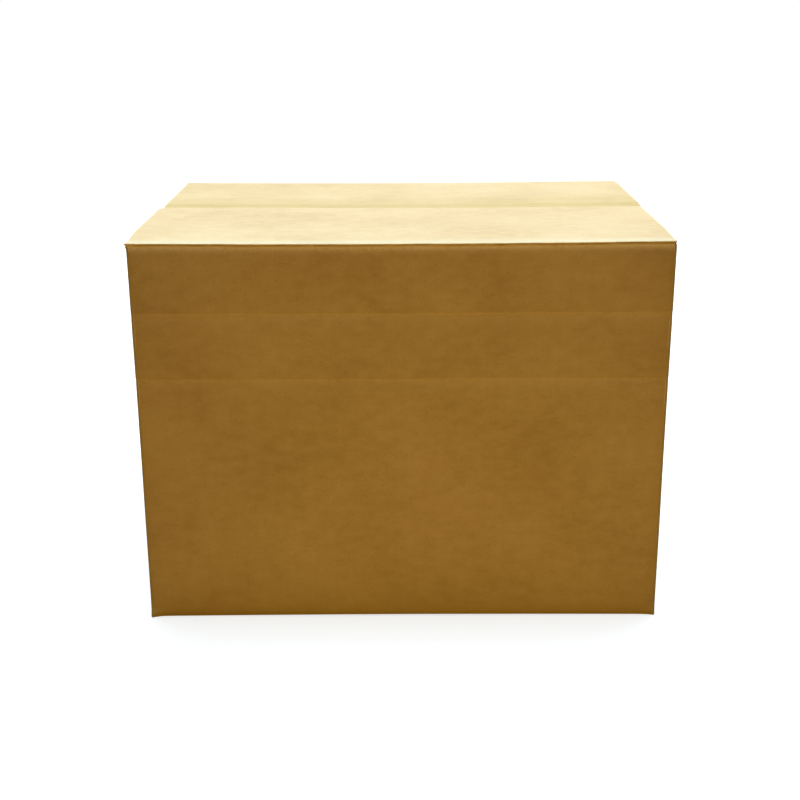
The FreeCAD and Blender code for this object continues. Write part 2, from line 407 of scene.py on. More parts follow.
# Flap patch: the section carried along w. Past the fold the flap has its own width, and its two
# free corners are rounded off by drawing in the last stations of the last rows. A crushed line,
# with painted shade in it, wanders along the fold.
def flapPatch(wall, section, w, innerSpan, flapSpan, corners=(0, 0), shift=0.0, twist=0.0):
    share = section["onFlap"][:, None]
    flapW = stretch(w, *flapSpan)[None, :]
    reach = section["outerU"].max()
    alongFlap = np.clip(section["outerU"] / reach, 0, 1)[:, None]
    cornerZone = 0.02
    for side, radius, end in zip((-1, 1), corners, flapSpan):
        toEnd = np.clip(reach - section["outerU"], 0, radius)[:, None]
        drawn = radius - np.sqrt(np.maximum(0, radius ** 2 - (radius - toEnd) ** 2))
        near = np.clip(1 - np.abs(flapW - end) / cornerZone, 0, 1) ** 3
        flapW = flapW - side * near * drawn
    flapW = flapW + shift * np.clip(alongFlap * 5, 0, 1)
    outerW = w[None, :] * (1 - share) + flapW * share
    innerW = stretch(w, *innerSpan)[None, :] * (1 - share) + flapW * share
    lift = twist * flapW * alongFlap ** 2 * share
    outer = place(wall, section["outerU"][:, None], outerW, section["outerV"][:, None] + lift)
    inner = place(wall, section["innerU"][:, None], innerW, section["innerV"][:, None] + lift)
    wander = crushed["wobble"] * ripple(w, w * 0, *rippleSizes["creaseWander"])
    wander = wander + crushed["jitter"] * ripple(w, w * 0, *rippleSizes["creaseJitter"])
    uneven = crushed["evenShare"] + crushed["unevenShare"] * ripple(w, w * 0, *rippleSizes["creaseDepth"])
    depth = crushed["depth"] * np.clip(uneven, 0, 1.5)
    dent = depth[None, :] * bump(section["fromCrease"][:, None] - wander[None, :], crushed["width"])
    outer = outer + (inner - outer) * (dent / board)[..., None]
    # Painted shade in the crushed line; the pale masks are kept out of it
    grime = section["grime"][:, None] + crushed["shade"] * dent / crushed["depth"]
    spared = 1 - np.clip(dent / crushed["depth"], 0, 1)
    blank = np.stack(np.broadcast_arrays(w[None, :] + blankStart[wall], section["run"][:, None]), -1)
    pastFold = section["outerU"] > carton["foldRadius"] + carton["closedRim"]
    recess = np.where(pastFold, carton["recess"], 0)[:, None]
    return patch(outer, inner, blank, section["crease"][:, None] * spared, grime,
                 section["rub"][:, None] * spared, recess)


# Rows of a patch, with all that it holds
def rowsOf(piece, first, last):
    return {key: value[first:last] for key, value in piece.items()}


# A piece's materials, in the order of its slots, and the share of each mask that reaches the inner liner
outsideSlot, cutSlot, insideSlot = 0, 1, 2
insideShare = {"crease": 0.5, "grime": 0, "rub": 0}


# Sheet: the patches are welded where their outer points agree, faces are turned outwards, and the
# border is closed by a rim. The rim steps in between the two liners where the fluting is cut back.
def sheetShell(patches, rimSlot=cutSlot, innerSlot=insideSlot):
    outer, inner = [np.concatenate([p[side].reshape(-1, 3) for p in patches]) for side in ("outer", "inner")]
    blank = np.concatenate([p["blank"].reshape(-1, 2) for p in patches])
    recess = np.concatenate([p["recess"].reshape(-1) for p in patches])
    quads, start = [], 0
    for p in patches:
        rows, columns = p["outer"].shape[:2]
        grid = start + np.arange(rows * columns).reshape(rows, columns)
        corners = [grid[:-1, :-1], grid[:-1, 1:], grid[1:, 1:], grid[1:, :-1]]
        quads.append(np.stack(corners, -1).reshape(-1, 4))
        start += rows * columns
    quads = np.concatenate(quads)
    key = np.round(outer * 1e6).astype(np.int64)
    _, first, weld = np.unique(key, axis=0, return_index=True, return_inverse=True)
    weld = weld.reshape(-1)
    least = np.full(len(first), 1.0)
    np.minimum.at(least, weld, recess)
    outer, inner, blank, recess = outer[first], inner[first], blank[first], least
    masks = {name: np.concatenate([p[name].reshape(-1) for p in patches])[first] for name in insideShare}
    quads = weld[quads]

    normal = np.cross(outer[quads[:, 2]] - outer[quads[:, 0]], outer[quads[:, 3]] - outer[quads[:, 1]])
    outward = outer[quads].mean(1) - inner[quads].mean(1)
    wrong = (normal * outward).sum(1) < 0
    quads[wrong] = quads[wrong][:, ::-1]

    edges = np.concatenate([quads[:, [k, (k + 1) % 4]] for k in range(4)])
    owner = np.tile(np.arange(len(quads)), 4)
    _, index, count = np.unique(np.sort(edges, 1), axis=0, return_inverse=True, return_counts=True)
    border = count[index.reshape(-1)] == 1
    edges, owner = edges[border], owner[border]
    along = outer[edges[:, 1]] - outer[edges[:, 0]]
    along /= np.linalg.norm(along, axis=1, keepdims=True) + 1e-12
    inwards = outer[quads[owner]].mean(1) - outer[edges[:, 0]]
    inwards -= (inwards * along).sum(1, keepdims=True) * along
    inwards /= np.linalg.norm(inwards, axis=1, keepdims=True) + 1e-12
    total = np.zeros_like(outer)
    np.add.at(total, edges[:, 0], inwards)
    np.add.at(total, edges[:, 1], inwards)
    mitre = 2 * total / np.maximum((total ** 2).sum(1, keepdims=True), 0.5)

    # Points: all of the outer side, all of the inner side, then four rings of the border in between
    count = len(outer)
    share = carton["liner"] / board
    back = mitre * recess[:, None]
    onBorder = np.unique(edges)
    slotOf = np.full(count, -1)
    slotOf[onBorder] = np.arange(len(onBorder))
    underOuter, overInner = outer + (inner - outer) * share, inner + (outer - inner) * share
    between = [underOuter, underOuter + back, overInner + back, overInner]
    points = [outer, inner] + [ring[onBorder] for ring in between]
    a, b = edges[:, 0], edges[:, 1]
    rings = [(a, b)]
    for k in range(4):
        start = 2 * count + k * len(onBorder)
        rings.append((slotOf[a] + start, slotOf[b] + start))
    rings.append((a + count, b + count))
    rims = [np.stack([upper[1], upper[0], *lower], -1) for upper, lower in zip(rings, rings[1:])]
    rims = np.concatenate(rims)
    slots = [np.full(len(quads), outsideSlot), np.full(len(quads), innerSlot), np.full(len(rims), rimSlot)]
    worn = np.zeros(count)
    worn[onBorder] = np.where(recess[onBorder] > 0, 1, 0)
    shell = {
        "points": np.concatenate(points),
        "quads": np.concatenate([quads, quads[:, ::-1] + count, rims]),
        "slots": np.concatenate(slots),
        "blank": np.concatenate([blank, blank] + [blank[onBorder]] * 4),
        "wear": np.concatenate([worn, worn] + [worn[onBorder]] * 4),
    }
    for name, mask in masks.items():
        shell[name] = np.concatenate([mask, insideShare[name] * mask] + [mask[onBorder]] * 4)
    return shell


fluting = {
    "pitch": 0.0078,
    "paper": 0.0003,
    "setBack": 0.00025,         # from the cut edge to the ribbon
    "depth": 0.003,
    "margin": 0.0015,           # left free at both ends of an edge
    "perWave": 10,
    "unevenness": 0.06,         # of the ribbon's height, and the length over which it comes and goes
    "waver": 0.11,
    "drift": 0.004,             # how far the flute lines wander in the liner
}


# Fluting in a cut edge: a thin ribbon whose height in the board is a sine of the place along the edge.
# The edge is the last row of a flap's patch.
def fluteShell(piece):
    outer, inner = piece["outer"][-1], piece["inner"][-1]
    before = (piece["outer"][-2] + piece["inner"][-2]) / 2
    middle = (outer + inner) / 2
    inwards = before - middle
    inwards /= np.linalg.norm(inwards, axis=1, keepdims=True)
    up = outer - inner
    up /= np.linalg.norm(up, axis=1, keepdims=True)
    run = np.concatenate([[0], np.cumsum(np.linalg.norm(np.diff(middle, axis=0), axis=1))])
    margin = fluting["margin"]
    waves = int((run[-1] - 2 * margin) / fluting["pitch"])
    s = np.linspace(margin, run[-1] - margin, waves * fluting["perWave"] + 1)

    def along(values):
        return np.stack([np.interp(s, run, values[:, k]) for k in range(3)], -1)

    middle, inwards, up = along(middle), along(inwards), along(up)
    swing = board / 2 - carton["liner"] - fluting["paper"] / 2
    wander = 1 + fluting["unevenness"] * ripple(s, s * 0, 5 + waves, fluting["waver"])
    height = swing * np.sin(2 * math.pi * s / fluting["pitch"]) * wander
    height = np.clip(height, -swing, swing)
    half = fluting["paper"] / 2
    ring = []
    for depth, side in ((fluting["setBack"], 1), (fluting["setBack"], -1),
                        (fluting["depth"], -1), (fluting["depth"], 1)):
        ring.append(middle + inwards * depth + up * (height + side * half)[:, None])
    points = np.stack(ring, 1).reshape(-1, 3)
    count = len(s)
    grid = np.arange(count * 4).reshape(count, 4)
    nextGrid = np.roll(grid, -1, axis=1)
    quads = np.stack([grid[:-1], nextGrid[:-1], nextGrid[1:], grid[1:]], -1).reshape(-1, 4)
    caps = np.array([[3, 2, 1, 0], grid[-1]])
    quads = np.concatenate([quads, caps])
    centre = points.reshape(count, 4, 3).mean(1)
    mid = count // 2
    face = quads[mid * 4]
    normal = np.cross(points[face[2]] - points[face[0]], points[face[3]] - points[face[1]])
    if normal @ (points[face].mean(0) - centre[mid]) < 0:
        quads = quads[:, ::-1]
    none = np.zeros(len(points))
    return {
        "points": points,
        "quads": quads,
        "slots": np.full(len(quads), cutSlot),
        "blank": np.stack([np.repeat(s, 4), np.tile([0, 0.001, 0.002, 0.003], count)], -1),
        "crease": none,
        "grime": none,
        "rub": none,
        "wear": none + 1,
    }


# One object from its shells: settled points, quads, a material for each face, the blank's own UV map,
# and the crease, rub-and-highlight, painted shade and pale cut edge masks as attributes. Edges over
# 35 degrees stay sharp.
def makePiece(name, shells, materials):
    starts = np.cumsum([0] + [len(s["points"]) for s in shells])
    points = settle(np.concatenate([s["points"] for s in shells]))
    quads = np.concatenate([s["quads"] + start for s, start in zip(shells, starts)])
    slots = np.concatenate([s["slots"] for s in shells])
    mesh = bpy.data.meshes.new(name)
    mesh.vertices.add(len(points))
    mesh.vertices.foreach_set("co", points.astype(np.float32).ravel())
    mesh.loops.add(quads.size)
    mesh.loops.foreach_set("vertex_index", quads.astype(np.int32).ravel())
    mesh.polygons.add(len(quads))
    mesh.polygons.foreach_set("loop_start", (np.arange(len(quads)) * 4).astype(np.int32))
    mesh.polygons.foreach_set("material_index", slots.astype(np.int32))
    mesh.update(calc_edges=True)
    uv = mesh.uv_layers.new(name="blank")
    blank = np.concatenate([s["blank"] for s in shells])
    uv.data.foreach_set("uv", blank[quads.ravel()].astype(np.float32).ravel())
    for label in ("crease", "rub", "grime", "wear"):
        layer = mesh.attributes.new(label, "FLOAT", "POINT")
        layer.data.foreach_set("value", np.concatenate([s[label] for s in shells]).astype(np.float32))
    mesh.polygons.foreach_set("use_smooth", np.ones(len(quads), bool))
    mesh.set_sharp_from_angle(angle=math.radians(35))
    mesh.validate()
    piece = bpy.data.objects.new(name, mesh)
    bpy.context.scene.collection.objects.link(piece)
    for material in materials:
        mesh.materials.append(material)
    print("made", name, len(quads) * 2, "triangles")
    return piece


# Node groups: named sockets, built once and given their own values in each material
def newGroup(name, inputs, outputs):
    group = bpy.data.node_groups.new(name, "ShaderNodeTree")
    for label, kind, value in inputs:
        socket = group.interface.new_socket(name=label, in_out="INPUT", socket_type="NodeSocket" + kind)
        if value is not None:
            socket.default_value = value
    for label, kind in outputs:
        group.interface.new_socket(name=label, in_out="OUTPUT", socket_type="NodeSocket" + kind)
    return group, group.nodes.new("NodeGroupInput"), group.nodes.new("NodeGroupOutput")


def feed(tree, socket, value):
    if isinstance(value, bpy.types.NodeSocket):
        tree.links.new(value, socket)
    else:
        socket.default_value = value


def maths(tree, operation, *values, clamp=False):
    node = tree.nodes.new("ShaderNodeMath")
    node.operation = operation
    node.use_clamp = clamp
    for socket, value in zip(node.inputs, values):
        feed(tree, socket, value)
    return node.outputs[0]


# In a colour Mix node, sockets 6 and 7 are the two colours and output 2 is their mix.
def mixColour(tree, share, first, second):
    node = tree.nodes.new("ShaderNodeMix")
    node.data_type = "RGBA"
    node.clamp_factor = True
    feed(tree, node.inputs[0], share)
    feed(tree, node.inputs[6], first)
    feed(tree, node.inputs[7], second)
    return node.outputs[2]


def scaled(tree, vector, scale):
    node = tree.nodes.new("ShaderNodeVectorMath")
    node.operation = "MULTIPLY"
    feed(tree, node.inputs[0], vector)
    feed(tree, node.inputs[1], scale)
    return node.outputs[0]


def noise(tree, vector, scale, detail, roughness=0.5):
    node = tree.nodes.new("ShaderNodeTexNoise")
    node.inputs["Scale"].default_value = scale
    node.inputs["Detail"].default_value = detail
    node.inputs["Roughness"].default_value = roughness
    feed(tree, node.inputs["Vector"], vector)
    return node.outputs[0]


def ramp(tree, value, low, high, toLow=0.0, toHigh=1.0):
    node = tree.nodes.new("ShaderNodeMapRange")
    for socket, number in zip(node.inputs[1:5], (low, high, toLow, toHigh)):
        socket.default_value = number
    feed(tree, node.inputs[0], value)
    return node.outputs[0]


# Patterns in the paper: scale per metre of blank, stretch along and across it, and the noise values
# between which each one fades in
grain = {
    "blotch": {"scale": 11.0, "detail": 3.0, "roughness": 0.5, "fade": (0.32, 0.68)},
    "cloud": {"stretch": (1.0, 1.6, 1.0), "scale": 75.0, "detail": 4.0, "roughness": 0.6, "fade": (0.3, 0.7)},
    "fibre": {"stretch": (420.0, 2600.0, 1.0), "scale": 1.0, "detail": 3.0, "roughness": 0.6,
              "fade": (0.3, 0.7)},
    "strand": {"stretch": (150.0, 900.0, 1.0), "scale": 1.0, "detail": 2.0, "roughness": 0.5,
               "fade": (0.56, 0.74)},
    "flutePatches": {"scale": 23.0, "detail": 2.0, "roughness": 0.5, "fade": (0.35, 0.65, 0.35, 1.0)},
    "wornPatches": {"scale": 240.0, "detail": 4.0, "roughness": 0.65, "fade": (0.35, 0.62, 0.55, 1.0)},
}
weights = {"blotch": 0.55, "cloud": 0.45, "fibre": 0.5, "strand": 0.6, "toothFibre": 0.6, "toothCloud": 0.4}
specks = [
    {"scale": 260.0, "radius": 0.1, "rarity": 0.55, "tint": "Dark", "strength": 1.0},
    {"scale": 410.0, "radius": 0.12, "rarity": 0.62, "tint": "Dark", "strength": 0.7},
    {"scale": 330.0, "radius": 0.09, "rarity": 0.6, "tint": "Pale", "strength": 0.8},
]


def pattern(tree, blank, name):
    look = grain[name]
    if "stretch" in look:
        blank = scaled(tree, blank, look["stretch"])
    return ramp(tree, noise(tree, blank, look["scale"], look["detail"], look["roughness"]), *look["fade"])


# Kraft paper: clouds and blotches of tone, fibres drawn out across the flutes, dark and pale specks.
# Blank is a place on the flat sheet in metres. Out come its colour and the height of its tooth.
def kraftGroup():
    inputs = [("Blank", "Vector", None), ("Paper", "Color", (0.6, 0.4, 0.2, 1)),
              ("Dark", "Color", (0.4, 0.25, 0.1, 1)), ("Pale", "Color", (0.8, 0.6, 0.4, 1)),
              ("Mottle", "Float", 0.3), ("Fibre", "Float", 0.3), ("Specks", "Float", 0.5)]
    group, given, out = newGroup("kraftPaper", inputs, [("Color", "Color"), ("Height", "Float")])
    blank = given.outputs["Blank"]

    def times(first, second):
        return maths(group, "MULTIPLY", first, second)

    def tint(colour, share, name):
        return mixColour(group, share, colour, given.outputs[name])

    blotch, cloud = pattern(group, blank, "blotch"), pattern(group, blank, "cloud")
    fibre, strand = pattern(group, blank, "fibre"), pattern(group, blank, "strand")
    tone = maths(group, "ADD", times(blotch, weights["blotch"]), times(cloud, weights["cloud"]))
    darkShare = times(maths(group, "SUBTRACT", 0.5, tone), given.outputs["Mottle"])
    paleShare = times(maths(group, "SUBTRACT", tone, 0.5), given.outputs["Mottle"])
    colour = tint(given.outputs["Paper"], maths(group, "MAXIMUM", darkShare, 0.0), "Dark")
    colour = tint(colour, maths(group, "MAXIMUM", paleShare, 0.0), "Pale")
    fibreDark = times(maths(group, "SUBTRACT", 1.0, fibre), given.outputs["Fibre"])
    colour = tint(colour, times(fibreDark, weights["fibre"]), "Dark")
    colour = tint(colour, times(times(strand, given.outputs["Fibre"]), weights["strand"]), "Pale")
    for speck in specks:
        cells = group.nodes.new("ShaderNodeTexVoronoi")
        cells.inputs["Scale"].default_value = 1.0
        feed(group, cells.inputs["Vector"], scaled(group, blank, (speck["scale"], speck["scale"] * 1.5, 1.0)))
        spot = ramp(group, cells.outputs["Distance"], speck["radius"], speck["radius"] * 2.2, 1.0, 0.0)
        split = group.nodes.new("ShaderNodeSeparateColor")
        feed(group, split.inputs[0], cells.outputs["Color"])
        chosen = maths(group, "GREATER_THAN", split.outputs[0], speck["rarity"])
        share = times(times(spot, chosen), given.outputs["Specks"])
        colour = tint(colour, times(share, speck["strength"]), speck["tint"])
    feed(group, out.inputs["Color"], colour)
    tooth = maths(group, "ADD", times(fibre, weights["toothFibre"]), times(cloud, weights["toothCloud"]))
    feed(group, out.inputs["Height"], tooth)
    return group


# Flute lines: a liner sinks a little between the flute tips, so height is a cosine across the blank.
def fluteGroup():
    inputs = [("Blank", "Vector", None), ("Pitch", "Float", fluting["pitch"])]
    group, given, out = newGroup("fluteLines", inputs, [("Height", "Float")])
    split = group.nodes.new("ShaderNodeSeparateXYZ")
    feed(group, split.inputs[0], given.outputs["Blank"])
    wander = maths(group, "MULTIPLY", noise(group, given.outputs["Blank"], 9.0, 1.0), fluting["drift"])
    waves = maths(group, "DIVIDE", maths(group, "ADD", split.outputs[0], wander), given.outputs["Pitch"])
    height = maths(group, "COSINE", maths(group, "MULTIPLY", waves, 2 * math.pi))
    patches = pattern(group, given.outputs["Blank"], "flutePatches")
    feed(group, out.inputs["Height"], maths(group, "MULTIPLY", height, patches))
    return group


# Worn and lit folds: the crease mask, partly painted light, and the pale cut edge mask, broken up
# by noise, as one mask.
def wornAndLitGroup():
    inputs = [("Blank", "Vector", None), ("Crease", "Float", 0.0), ("Wear", "Float", 0.0)]
    group, given, out = newGroup("wornFolds", inputs, [("Mask", "Float")])
    broken = pattern(group, given.outputs["Blank"], "wornPatches")
    both = maths(group, "MAXIMUM", given.outputs["Crease"], given.outputs["Wear"])
    feed(group, out.inputs["Mask"], maths(group, "MULTIPLY", both, broken, clamp=True))
    return group


def startMaterial(name):
    material = bpy.data.materials.new(name)
    material.use_nodes = True
    tree = material.node_tree
    tree.nodes.clear()
    surface = tree.nodes.new("ShaderNodeBsdfPrincipled")
    output = tree.nodes.new("ShaderNodeOutputMaterial")
    tree.links.new(surface.outputs[0], output.inputs[0])
    return material, tree, surface


def useGroup(tree, group, **values):
    node = tree.nodes.new("ShaderNodeGroup")
    node.node_tree = group
    for label, value in values.items():
        feed(tree, node.inputs[label], value)
    return node


def attribute(tree, name):
    node = tree.nodes.new("ShaderNodeAttribute")
    node.attribute_name = name
    return node.outputs["Fac"]


def blankPlace(tree):
    node = tree.nodes.new("ShaderNodeUVMap")
    node.uv_map = "blank"
    return node.outputs[0]


groups = {"kraft": kraftGroup(), "flutes": fluteGroup(), "worn": wornAndLitGroup()}


# Liner: kraft paper with flute lines in its bump and painted shade along them, paler at cut edges,
# with pale bands of partly worn paper and partly painted light beside folds and scores, and darker
# where painted shade is laid on.
def linerMaterial(name, look):
    material, tree, surface = startMaterial(name)
    blank = blankPlace(tree)
    paper = useGroup(tree, groups["kraft"], Blank=blank, Paper=look["paper"], Dark=look["dark"],
                     Pale=look["pale"], Mottle=look["mottle"], Fibre=look["fibre"], Specks=look["specks"])
    flutes = useGroup(tree, groups["flutes"], Blank=blank)
    worn = useGroup(tree, groups["worn"], Blank=blank, Crease=attribute(tree, "crease"),
                    Wear=attribute(tree, "wear"))
    # Painted highlight beside a fold, on partly rubbed paper
    rubbed = useGroup(tree, groups["worn"], Blank=blank, Crease=attribute(tree, "rub"), Wear=0.0)
    colour = mixColour(tree, maths(tree, "MULTIPLY", rubbed.outputs[0], look["wornShare"]),
                       paper.outputs["Color"], look["rubbed"])
    # Pale bands beside folds and scores, partly worn paper and partly painted light, and pale cut edges
    colour = mixColour(tree, maths(tree, "MULTIPLY", worn.outputs[0], look["wornShare"]), colour,
                       look["worn"])
    # Painted shade along the flute valleys
    lines = ramp(tree, flutes.outputs[0], -1.0, 1.0, look["fluteShade"], 0.0)
    # Painted shade from its mask, in the same dark colour
    soiled = maths(tree, "MULTIPLY", attribute(tree, "grime"), look["grimeShare"])
    colour = mixColour(tree, maths(tree, "ADD", lines, soiled), colour, look["grime"])
    feed(tree, surface.inputs["Base Color"], colour)
    smoothest, roughest = look["rough"]
    feed(tree, surface.inputs["Roughness"], ramp(tree, paper.outputs["Height"], 0, 1, smoothest, roughest))
    surface.inputs["Specular IOR Level"].default_value = look["gloss"]
    surface.inputs["Specular Tint"].default_value = look["glossTint"]
    surface.inputs["Sheen Weight"].default_value = look["sheen"]
    surface.inputs["Sheen Roughness"].default_value = look["sheenRough"]
    waves = tree.nodes.new("ShaderNodeBump")
    waves.inputs["Distance"].default_value = look["fluteHeight"]
    feed(tree, waves.inputs["Height"], flutes.outputs[0])
    tooth = tree.nodes.new("ShaderNodeBump")
    tooth.inputs["Distance"].default_value = look["toothHeight"]
    feed(tree, tooth.inputs["Height"], paper.outputs["Height"])
    feed(tree, tooth.inputs["Normal"], waves.outputs[0])
    feed(tree, surface.inputs["Normal"], tooth.outputs[0])
    return material


outsideLook = {
    "paper": (0.62, 0.42, 0.225, 1),
    "dark": (0.38, 0.22, 0.09, 1),
    "pale": (0.78, 0.58, 0.36, 1),
    # painted highlight beside a fold, on partly rubbed paper
    "rubbed": (0.65, 0.62, 0.44, 1),
    # pale bands of partly worn paper and partly painted light, and pale cut edges
    "worn": (0.97, 0.72, 0.47, 1),
    "wornShare": 0.85,
    # colour of the painted shade and of the painted flute lines
    "grime": (0.42, 0.27, 0.07, 1),
    "grimeShare": 0.55,
    "mottle": 0.9,
    "fibre": 0.3,
    "specks": 0.5,
    "fluteShade": 0.03,
    "rough": (0.74, 0.86),
    "gloss": 0.3,
    "glossTint": (0.5, 0.2, 0.02, 1),
    "sheen": 0.5,
    "sheenRough": 0.45,
    "fluteHeight": 0.00002,
    "toothHeight": 0.00002,
}
insideLook = dict(outsideLook, paper=(0.57, 0.36, 0.165, 1), mottle=0.4, wornShare=0.3)
cutLook = dict(outsideLook, paper=(0.52, 0.33, 0.16, 1), worn=(0.60, 0.40, 0.20, 1), fluteShade=0.0,
               fluteHeight=0.0, mottle=0.8, fibre=0.4)
boardMaterials = [linerMaterial("kraftOutside", outsideLook), linerMaterial("kraftCut", cutLook),
                  linerMaterial("kraftInside", insideLook)]
print("materials ready")


# Glue tab: leaves the last corner, then narrows at once to its own slanted ends. Its outer side is
# glued to the inside of the back wall.
def tabPatch(cornerX, innerCornerX, jointY, levels):
    rc, ri = carton["cornerRadius"], carton["innerRadius"]
    width = carton["tabWidth"]
    tabX = np.concatenate([[0], np.linspace(carton["tabRoot"], 1, 8) * width])
    low = innerBottom + board + carton["tabClearance"]
    high = innerTop - board - carton["tabClearance"]
    slant = carton["tabSlant"] * tabX / width
    span = (levels - wallFoot) / (wallTop - wallFoot)
    z = (low + slant)[None, :] + span[:, None] * (high - low - 2 * slant)[None, :]
    z[:, 0] = levels
    outer = np.stack(np.broadcast_arrays(-cornerX + tabX[None, :], jointY, z), -1)
    innerTabX = -innerCornerX + tabX * (width - board - ri + rc) / width
    inner = np.stack(np.broadcast_arrays(innerTabX[None, :], jointY - board, z), -1)
    blank = np.stack(np.broadcast_arrays(blankStart["tab"] + tabX[None, :], z), -1)
    return patch(outer, inner, blank)


# The folded blank: four walls in a ring, three folded corners and the glued joint, and the flaps
# that stay shut.
def makeBody():
    levels = wallLevels()
    rc, ri = carton["cornerRadius"], carton["innerRadius"]
    frontEnd, sideEnd = halfWidth - rc, halfDepth - rc
    innerX, innerY = halfWidth - board - ri, halfDepth - board - ri
    jointY = halfDepth - board - carton["glueFilm"]
    longSpan = stations(-frontEnd, frontEnd)
    backSpan = stations(-halfWidth + carton["panelSetback"], frontEnd)
    rightSpan = stations(-sideEnd, sideEnd)
    leftSpan = stations(-sideEnd, jointY - rc)
    walls = {
        "front": (longSpan, (-innerX, innerX)),
        "right": (rightSpan, (-innerY, innerY)),
        "back": (backSpan, (backSpan[0], innerX)),
        "left": (leftSpan, (-innerY, jointY - board - ri)),
    }
    patches = [wallPatch(wall, span, *innerSpan, levels) for wall, (span, innerSpan) in walls.items()]
    # Middle of each corner outside and inside, and the quarter turn at which its arc begins
    cornerCentres = [
        ((-frontEnd, -sideEnd), (-innerX, -innerY), 2),
        ((frontEnd, -sideEnd), (innerX, -innerY), 3),
        ((frontEnd, sideEnd), (innerX, innerY), 0),
        ((-frontEnd, jointY - rc), (-innerX, jointY - board - ri), 1),
    ]
    quarter = math.pi / 2
    topLevels = np.linspace(wallTop, foldLevel - carton["cornerTop"], carton["cornerRows"])
    footLevels = np.linspace(carton["cornerFoot"], wallFoot, carton["cornerRows"])
    for k, (outerCentre, innerCentre, turns) in enumerate(cornerCentres):
        glued = k == 3
        for rows in [levels] if glued else [levels, topLevels, footLevels]:
            patches.append(cornerPatch(outerCentre, innerCentre, turns * quarter, (turns + 1) * quarter, rows,
                                       blankStart["corners"] + k * 0.01))
    patches.append(tabPatch(frontEnd, innerX, jointY, levels))

    # Flaps that stay shut: the bottom outer ones, then the inner ones at the top and the bottom
    def floorRise(u):
        past = np.clip((u - carton["floorStrip"]) / carton["floorRamp"], 0, 1)
        return -carton["seamClearance"] * past

    flapHalf = halfWidth - carton["outerInset"]
    innerHalf = halfDepth - board - carton["innerSlot"]
    bottom = flapSection(0.0, -1, wallFoot, flapReach, floorRise, soiled=1.0)
    innerUpper = flapSection(innerTop, 1, innerTop - wallTop, flapReach, np.zeros_like, wear["fold"])
    innerLower = flapSection(innerBottom, -1, wallFoot - innerBottom, flapReach, np.zeros_like, wear["fold"])
    flaps = []
    for section, half, sides in ((bottom, flapHalf, ("front", "back")),
                                 (innerUpper, innerHalf, ("left", "right")),
                                 (innerLower, innerHalf, ("left", "right"))):
        for wall in sides:
            flaps.append(flapPatch(wall, section, *walls[wall], (-half, half)))
    shells = [sheetShell(patches + flaps)] + [fluteShell(flap) for flap in flaps]
    body = makePiece("foldedBox", shells, boardMaterials)
    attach(body, "carton")
    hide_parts("box_body")


# Rise of a loose flap: a smoothstep past its fold, then a slow straight fall to the seam, with a
# steeper straight dip in the last strip.
def flapRise(size):
    start, end = size["ramp"]

    def riseAt(u):
        t = np.clip((u - start) / (end - start), 0, 1)
        dip = np.clip((u - flapReach + size["dipLength"]) / size["dipLength"], 0, 1)
        fall = np.clip((u - end) / (flapReach - end), 0, 1)
        return size["rise"] * t * t * (3 - 2 * t) - size["fall"] * fall - size["dip"] * dip

    return riseAt


frontFlap = {
    "rise": frontRise,
    "ramp": (0.004, 0.044),     # where the rise begins and ends, from the wall's face
    "fall": 0.0009,
    "dip": -0.0004,             # its very edge curls up
    "dipLength": 0.014,
    "corners": (0.010, 0.004),  # radii of its left and right free corners
    "shift": -0.0008,
    "twist": -0.0022,
    "seamShade": 0.0,           # painted shade in the dip and in a wider band beside the seam
    "wideShade": 0.0,
    "soiled": 0.0,
    "worn": (1.7, 0.55),        # beside its fold, on the wall and on the flap
}
backFlap = {
    "rise": 0.0006,
    "ramp": (0.004, 0.030),
    "fall": 0.0,
    "dip": backDip + 0.0001,
    "dipLength": 0.0165,
    "corners": (0.003, 0.003),
    "shift": 0.0008,
    "twist": 0.0,
    "seamShade": 0.62,
    "wideShade": 0.42,
    # the whole back flap a little darker
    "soiled": 0.10,
    "worn": (1.0, 0.2),
}
# Painted shade beside the seam of the back flap, stronger towards its ends
seamBand = {
    "middle": 0.75,             # strength of the band at mid length, and what its ends have more
    "ends": 0.25,
    "power": 1.5,
    "pastDip": 0.005,
    "fade": 0.004,
    "wide": 0.058,
    "wideFade": 0.012,
}


# A top flap in two pieces from one patch: the strip round the fold and the flap beyond it.
def makeFlap(wall, size, bodyName, node):
    frontEnd = halfWidth - carton["cornerRadius"]
    innerX = halfWidth - board - carton["innerRadius"]
    span = stations(-frontEnd, frontEnd)
    innerSpan = (-innerX, innerX)
    if wall == "back":
        span = stations(-halfWidth + carton["panelSetback"], frontEnd)
        innerSpan = (span[0], innerX)
    section = flapSection(foldLevel, 1, carton["foldBand"], flapReach, flapRise(size), size["worn"])
    flapHalf = halfWidth - carton["outerInset"]
    whole = flapPatch(wall, section, span, innerSpan, (-flapHalf, flapHalf), size["corners"],
                      size["shift"], size["twist"])
    # Painted shade in the dip and in a wider band beside the seam, and a darker share over the whole flap
    toSeam = flapReach - section["outerU"][:, None]
    toEnd = np.clip(np.abs(span) / halfWidth, 0, 1)[None, :]
    strength = seamBand["middle"] + seamBand["ends"] * toEnd ** seamBand["power"]
    inDip = np.clip((size["dipLength"] + seamBand["pastDip"] - toSeam) / seamBand["fade"], 0, 1)
    inBand = np.clip((seamBand["wide"] - toSeam) / seamBand["wideFade"], 0, 1)
    shade = strength * (size["seamShade"] * inDip + size["wideShade"] * inBand)
    whole["grime"] = whole["grime"] + shade + size["soiled"]
    split = int(np.searchsorted(section["outerU"], carton["foldBand"]))
    whole["recess"][:split + 1] = 0
    strip, flap = rowsOf(whole, 0, split + 1), rowsOf(whole, split, None)
    fold = makePiece(wall + "Fold", [sheetShell([strip])], boardMaterials)
    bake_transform(fold)
    panel = makePiece(wall + "Flap", [sheetShell([flap]), fluteShell(flap)], boardMaterials)
    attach(panel, bodyName)
    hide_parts(node)


